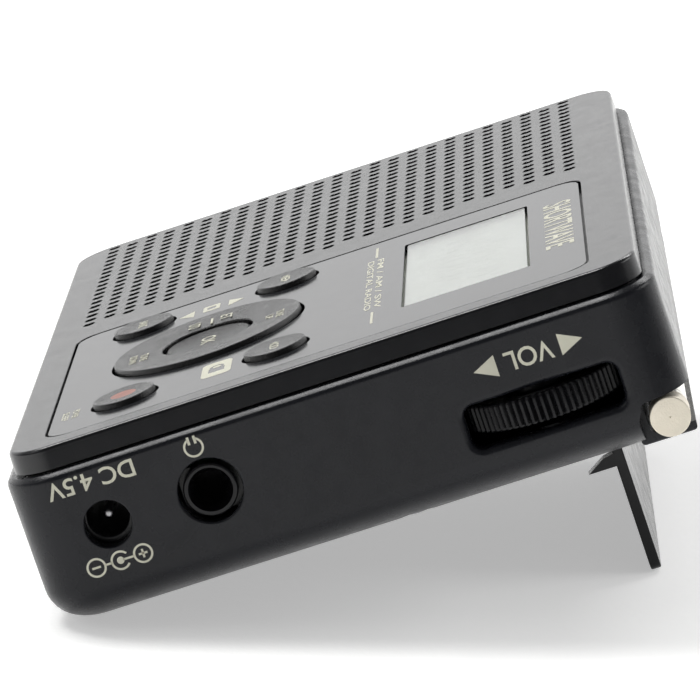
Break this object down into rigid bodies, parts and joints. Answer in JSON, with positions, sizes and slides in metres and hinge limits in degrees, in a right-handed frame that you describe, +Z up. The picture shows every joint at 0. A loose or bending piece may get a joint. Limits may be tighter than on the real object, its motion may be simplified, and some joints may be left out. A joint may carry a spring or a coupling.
{
  "type": "pocket shortwave receiver",
  "caption": "Pocket shortwave receiver leaning on its fold-out stand, with grille, display, keys, side volume wheel, jacks and telescopic aerial.",
  "frame": {"origin": "centre of the bounding box at the ground the set leans on", "axes": "+X along the width towards the jacks and volume wheel, +Z up; the set lies back on its open stand, its front face looking up and its top edge, at +Y, raised 18.4 degrees about X"},
  "size_m": [0.116, 0.0756, 0.0421],
  "materials": {
    "case_black": "black moulded plastic, semi-gloss",
    "panel_film": "dark printed control panel",
    "key_black": "black key caps with fine print",
    "lcd_glass": "clear display window",
    "lcd_face": "grey-green reflective display",
    "cloth_black": "thin black dust cloth",
    "board_green": "solder-masked board",
    "rubber_grey": "moulded contact rubber",
    "steel": "plain steel",
    "chrome": "nickel-chrome plated brass",
    "cone_paper": "pressed paper cone",
    "ferrite": "dark ferrite",
    "copper": "enamelled copper winding",
    "cell_sleeve": "plain shrink sleeve"
  },
  "bodies": {
    "root": {"front_cabinet": "case_black", "back_cabinet": "case_black", "control_panel": "panel_film", "lcd_window": "lcd_glass", "lcd_module": "lcd_face", "grille_cloth": "cloth_black", "main_board": "board_green", "keypad_mat": "rubber_grey", "tuner_shield": "chrome", "speaker_frame": "steel", "speaker_cone": "cone_paper", "speaker_magnet": "steel", "volume_pot": "steel", "headphone_jack": "case_black", "dc_jack": "case_black", "dc_jack_pin": "chrome", "ferrite_rod": "ferrite", "ferrite_coil": "copper", "battery_cell_1": "cell_sleeve", "battery_cell_2": "cell_sleeve", "battery_cell_3": "cell_sleeve", "battery_spring_1": "chrome", "battery_spring_2": "chrome", "battery_spring_3": "chrome", "battery_plate_1": "chrome", "battery_plate_2": "chrome", "battery_plate_3": "chrome", "stand_pin_left": "steel", "stand_pin_right": "steel", "aerial_pivot_pin": "chrome", "case_screw_1": "steel", "case_screw_2": "steel", "case_screw_3": "steel", "case_screw_4": "steel"},
    "nav_pivot": {"nav_pivot_ring": "key_black"},
    "nav_rocker": {"nav_ring": "key_black"},
    "ok_key": {"ok_button": "key_black"},
    "band_key": {"band_button": "key_black"},
    "memory_key": {"memory_button": "key_black"},
    "mode_key": {"mode_button": "key_black"},
    "power_key": {"power_button": "key_black"},
    "volume_knob": {"volume_wheel": "case_black", "volume_shaft": "steel", "volume_screw": "steel"},
    "battery_lid": {"battery_door": "case_black"},
    "stand": {"kick_stand": "case_black"},
    "aerial_base": {"aerial_knuckle": "chrome", "aerial_section_1": "chrome"},
    "aerial_slide_2": {"aerial_section_2": "chrome"},
    "aerial_slide_3": {"aerial_section_3": "chrome"},
    "aerial_slide_4": {"aerial_section_4": "chrome", "aerial_tip": "chrome"}
  },
  "joints": [
    {"name": "nav_rock_vertical", "type": "hinge", "parent": "root", "child": "nav_pivot", "pos_m": [0.0244, -0.01593, 0.02342], "axis": [1, 0, 0], "range_deg": [-2.5, 2.5], "stiffness_Nm_per_rad": 0.4},
    {"name": "nav_rock_sideways", "type": "hinge", "parent": "nav_pivot", "child": "nav_rocker", "pos_m": [0.0244, -0.01593, 0.02342], "axis": [0, 0.9489, 0.3156], "range_deg": [-2.5, 2.5], "stiffness_Nm_per_rad": 0.4},
    {"name": "ok_press", "type": "slide", "parent": "root", "child": "ok_key", "axis": [0, 0.3156, -0.9489], "range_m": [0, 0.0005], "stiffness_N_per_m": 2000},
    {"name": "band_press", "type": "slide", "parent": "root", "child": "band_key", "axis": [0, 0.3156, -0.9489], "range_m": [0, 0.0005], "stiffness_N_per_m": 2000},
    {"name": "memory_press", "type": "slide", "parent": "root", "child": "memory_key", "axis": [0, 0.3156, -0.9489], "range_m": [0, 0.0005], "stiffness_N_per_m": 2000},
    {"name": "mode_press", "type": "slide", "parent": "root", "child": "mode_key", "axis": [0, 0.3156, -0.9489], "range_m": [0, 0.0005], "stiffness_N_per_m": 2000},
    {"name": "power_press", "type": "slide", "parent": "root", "child": "power_key", "axis": [0, 0.3156, -0.9489], "range_m": [0, 0.0005], "stiffness_N_per_m": 2000},
    {"name": "volume_turn", "type": "hinge", "parent": "root", "child": "volume_knob", "pos_m": [0.0484, 0.02178, 0.02459], "axis": [0, -0.3156, 0.9489], "range_deg": [-150, 150]},
    {"name": "battery_door_swing", "type": "hinge", "parent": "root", "child": "battery_lid", "pos_m": [-0.007, -0.02587, 0.00104], "axis": [-1, 0, 0], "range_deg": [0, 100]},
    {"name": "stand_fold", "type": "hinge", "parent": "root", "child": "stand", "pos_m": [-0.0005, 0.02833, 0.01965], "axis": [-1, 0, 0], "range_deg": [0, 90]},
    {"name": "aerial_swing", "type": "hinge", "parent": "root", "child": "aerial_base", "pos_m": [-0.0531, 0.03503, 0.02467], "axis": [0, -0.3156, 0.9489], "range_deg": [0, 90]},
    {"name": "aerial_extend_2", "type": "slide", "parent": "aerial_base", "child": "aerial_slide_2", "axis": [1, 0, 0], "range_m": [0, 0.088]},
    {"name": "aerial_extend_3", "type": "slide", "parent": "aerial_slide_2", "child": "aerial_slide_3", "axis": [1, 0, 0], "range_m": [0, 0.088]},
    {"name": "aerial_extend_4", "type": "slide", "parent": "aerial_slide_3", "child": "aerial_slide_4", "axis": [1, 0, 0], "range_m": [0, 0.088]}
  ]
}
